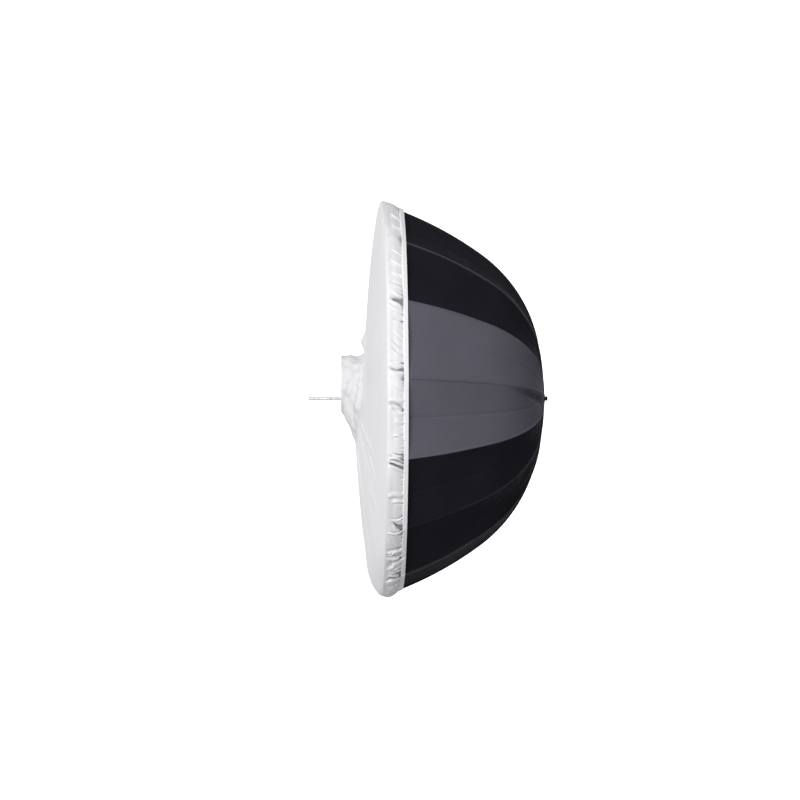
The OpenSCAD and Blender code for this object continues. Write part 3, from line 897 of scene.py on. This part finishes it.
def band_fold(around, across, start, slope, first, last, height, width, bend=0.0):
    """One fold of the band from across = first to last, which drifts round it by slope and bend."""
    ring = 2 * math.pi * RIM_R
    share = np.clip((across - first) / (last - first), 0, 1)
    crest = start + slope * share + bend * np.sin(math.pi * share)
    off = (around - crest + ring / 2) % ring - ring / 2
    begun = smoothstep(first - 0.006, first + 0.012, across)
    ended = smoothstep(last - 0.004, last + 0.004, across)
    shape = np.exp(-((off / width) ** 2)) - 0.5 * np.exp(-(((off - 2 * width) / width) ** 2))
    return height * (begun * (1 - ended)) * shape


def stitch_gathers(rng, around, across):
    """Short gathers that cross the stitch line, all round the band."""
    total = np.zeros(np.broadcast(around, across).shape)
    place = 0.0
    while place < 2 * math.pi * RIM_R:
        place += rng.uniform(0.008, 0.03)
        reach = rng.uniform(0.003, 0.011)
        slope, height = rng.uniform(-0.002, 0.002), rng.uniform(-0.0066, -0.0024)
        total += band_fold(
            around, across, place, slope, STITCH_ACROSS - reach, STITCH_ACROSS + 0.4 * reach,
            height, rng.uniform(0.0016, 0.003))
    return total


def long_folds(rng, around, across):
    """Longer folds from the ridge to the stitch line, deeper and more towards the bottom of the rim."""
    total = np.zeros(np.broadcast(around, across).shape)
    for _ in range(LONG_FOLDS):
        turn = rng.uniform(0, 360)
        low = 0.5 - 0.5 * math.sin(math.radians(turn))
        if rng.random() > 0.3 + 0.7 * low:
            continue
        depth = 0.3 + 0.7 * low + 0.9 * smoothstep(0.84, 0.97, low)
        first = rng.uniform(0.003, 0.03)
        height = rng.choice((-1, 1), p=(0.75, 0.25)) * depth * rng.uniform(0.005, 0.0115)
        total += band_fold(
            around, across, math.radians(turn) * RIM_R, rng.uniform(0.002, 0.026) * (0.4 + low), first,
            STITCH_ACROSS, height, rng.uniform(0.0022, 0.0066), rng.uniform(-0.006, 0.006))
    return total


def bottom_crumples(rng, around, across):
    """Crumples across the band at the bottom of the rim, where it is slackest."""
    total = np.zeros(np.broadcast(around, across).shape)
    for _ in range(CRUMPLES):
        turn = BOTTOM + rng.uniform(-CRUMPLED_DEGREES, CRUMPLED_DEGREES)
        first = rng.uniform(0.002, 0.035)
        slope, length = rng.uniform(-0.006, 0.009), rng.uniform(0.012, 0.036)
        height = rng.choice((-1, 0.6), p=(0.75, 0.25)) * rng.uniform(0.009, 0.017)
        width, bend = rng.uniform(0.003, 0.0075), rng.uniform(-0.005, 0.005)
        total += band_fold(
            around, across, math.radians(turn) * RIM_R, slope, first, first + length, height, width, bend)
    return total


def band_folds(around, across):
    """All the folds of the band, as a height over the smooth cloth.
    around and across are metres of cloth from the +Y side and from the ridge."""
    rng = np.random.default_rng(53)
    total = stitch_gathers(rng, around, across)
    total += long_folds(rng, around, across)
    total += bottom_crumples(rng, around, across)
    return total


def band_radius(turn, across, x):
    """Radius of the band's cloth, and its gap to the canopy. The cloth turns over the ends of the ribs, then
    lies loosely along the canopy, and ends in a casing behind the stitch line."""
    on_rib = canopy_radius(x)
    outline = between_ribs(turn)[None]
    slack = SLACK_PUFF * smoothstep(0.80, 0.97, 0.5 - 0.5 * np.sin(turn))[None]
    puffed = PUFF_START + (PUFF + slack) * np.sin(np.pi * np.clip(across / STITCH_ACROSS, 0, 1))
    rest = on_rib * (1 - BAND_SLACK * (1 - outline)) + puffed
    over = smoothstep(0.0, 0.022, across)
    r = (RIM_R - 0.0004) * (1 - over) + rest * over
    relief = band_folds(turn[None] * RIM_R, across)
    relief = np.where(relief > 0, HIGHEST_FOLD * np.tanh(relief / HIGHEST_FOLD), relief)
    casing = smoothstep(STITCH_ACROSS, STITCH_ACROSS + 0.0022, across)
    seam = -0.0012 * np.exp(-(((across - STITCH_ACROSS) / 0.0011) ** 2))
    r = r + relief * smoothstep(0.0, 0.01, across) * (1 - 0.75 * casing) + HEM_THICK * casing + seam
    r = np.maximum(r, on_rib * outline + CLEARANCE)
    # the casing and the turn over the ridge are doubled, so the canopy never shows there and they take no
    # painted shade
    gap = np.where((casing > 0.5) | (across < 0.008), CLEAR_GAP, r - on_rib * outline)
    return r, gap


def make_band():
    """The gathered band from the ridge to the elastic casing."""
    turn = np.arange(BAND_COLUMNS) * 2 * np.pi / BAND_COLUMNS
    share = np.concatenate([np.linspace(0, 0.1, 6)[:-1], np.linspace(0.1, 1, BAND_ROWS - 5)])[:, None]
    across = (HEM_X - RIM_X) * share
    ridge = ridge_x(turn)[None]
    x = ridge + (HEM_X - ridge) * share
    r, gap = band_radius(turn, across, x)
    points = np.stack([x + 0 * r, r * np.cos(turn), r * np.sin(turn)], -1)
    uv = np.stack([turn[None] * RIM_R + 0 * r, across + 0 * r], -1)
    # the band's cloth is a brighter copy of the front's white cloth, painted light
    piece = cloth_sheet("diffuser_band_cloth", points, uv, FABRIC, [lit_hem_cloth], 0, 0, wrap=True)
    # the gap sets the band's darker tint: partly the canopy showing through, partly painted crease shade
    attribute = piece.data.attributes.new("gap", "FLOAT", "POINT")
    # once for the outer face and once for the inner one
    attribute.data.foreach_set("value", np.tile(gap.ravel(), 2).astype(np.float32))
    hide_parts("diffuser_band")
    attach(piece, "diffuser")


make_band()
make_front()


# ---------------------------------------------------------------- floor, backdrop and light
FLOOR_Z = -2.0
FLOOR_R = 3.0
BACKDROP_Y = 6.5
BACKDROP_SIDE = 8.0
AMBIENT_BELOW = 0.12
AMBIENT_ABOVE = 0.46
LIT_POINT = (0.4, 0.0, 0.0)


def make_floor():
    sides = 128
    turns = [2 * math.pi * k / sides for k in range(sides)]
    rim = [(FLOOR_R * math.cos(turn), FLOOR_R * math.sin(turn), FLOOR_Z) for turn in turns]
    grey = (0.5, 0.5, 0.51)
    material = solid("studio_floor", grey, 0.75, specular=0.1, grain=40.0, depth=0.00001, even=True)
    floor = add_object("studio_floor", rim, [tuple(range(sides))], [material], [0])


def make_backdrop():
    """A white backdrop that is lit on its own, so that it shows as pure white."""
    n = Nodes("lit_backdrop")
    n.set(Base_Color=(0.9, 0.9, 0.9, 1.0), Emission_Color=(1.0, 1.0, 1.0, 1.0), Emission_Strength=1.05)
    half = BACKDROP_SIDE / 2
    corners = [(x, BACKDROP_Y, z) for x, z in ((-half, -half), (half, -half), (half, half), (-half, half))]
    add_object("backdrop", corners, [(0, 1, 2, 3)], [n.material], [0])


def make_area_light(name, place, size, power):
    """A round soft light that faces the middle of the umbrella."""
    data = bpy.data.lights.new(name, "AREA")
    data.shape = "DISK"
    data.size = size
    data.energy = power
    light = bpy.data.objects.new(name, data)
    bpy.context.scene.collection.objects.link(light)
    light.location = place
    light.visible_camera = False
    light.rotation_euler = (Vector(LIT_POINT) - light.location).to_track_quat("-Z", "Y").to_euler()


def make_world():
    """Soft light from all round, weaker from below."""
    world = bpy.data.worlds.new("studio")
    world.use_nodes = True
    tree = world.node_tree
    direction = tree.nodes.new("ShaderNodeTexCoord").outputs["Generated"]
    parts = tree.nodes.new("ShaderNodeSeparateXYZ")
    tree.links.new(direction, parts.inputs[0])
    level = tree.nodes.new("ShaderNodeMapRange")
    level.inputs["From Min"].default_value = -1.0
    level.inputs["To Min"].default_value = AMBIENT_BELOW
    level.inputs["To Max"].default_value = AMBIENT_ABOVE
    tree.links.new(parts.outputs["Z"], level.inputs["Value"])
    tree.links.new(level.outputs["Result"], tree.nodes["Background"].inputs["Strength"])
    tree.nodes["Background"].inputs["Color"].default_value = (1.0, 1.0, 1.0, 1.0)
    bpy.context.scene.world = world


def make_light():
    make_world()
    make_area_light("key", (-1.5, -5.5, 1.4), 3.4, 255)
    make_area_light("front_fill", (-4.7, -0.7, 0.5), 3.2, 58)
    bpy.context.scene.view_settings.view_transform = "Standard"


make_floor()
make_backdrop()
make_light()
